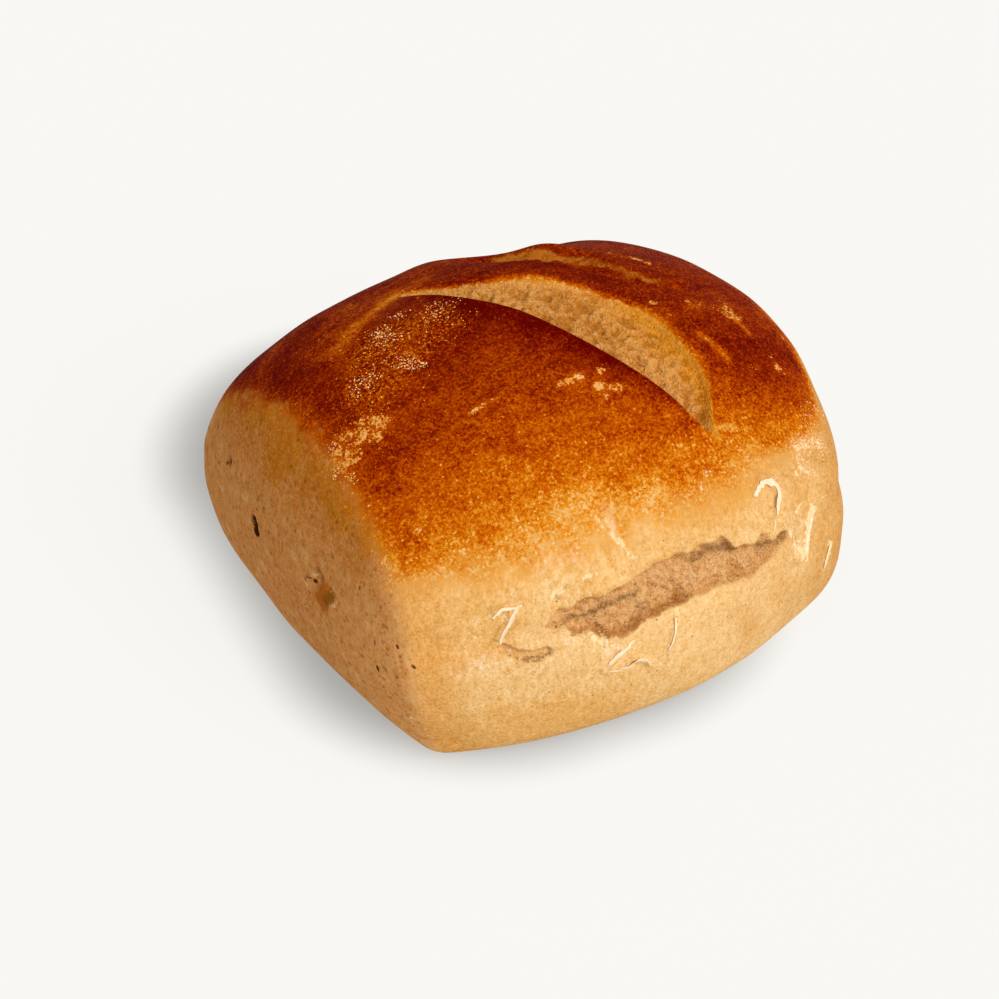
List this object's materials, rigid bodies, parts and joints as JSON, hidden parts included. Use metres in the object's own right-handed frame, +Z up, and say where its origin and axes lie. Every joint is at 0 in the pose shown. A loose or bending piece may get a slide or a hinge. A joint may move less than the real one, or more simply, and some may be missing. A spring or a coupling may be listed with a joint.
{
  "type": "bread roll",
  "caption": "Soft white bread roll with a browned, slashed, domed top and pale flat sides where it touched its neighbours in the oven.",
  "frame": {"origin": "middle of the flat base, on the surface the roll stands on", "axes": "+Z up out of the domed top, +X along the longer side, -Y towards the torn front side"},
  "size_m": [0.1026, 0.0898, 0.0612],
  "materials": {
    "crust": "baked crust, browned on top and pale on the sides"
  },
  "bodies": {
    "root": {"bread_roll": "crust"}
  },
  "joints": []
}
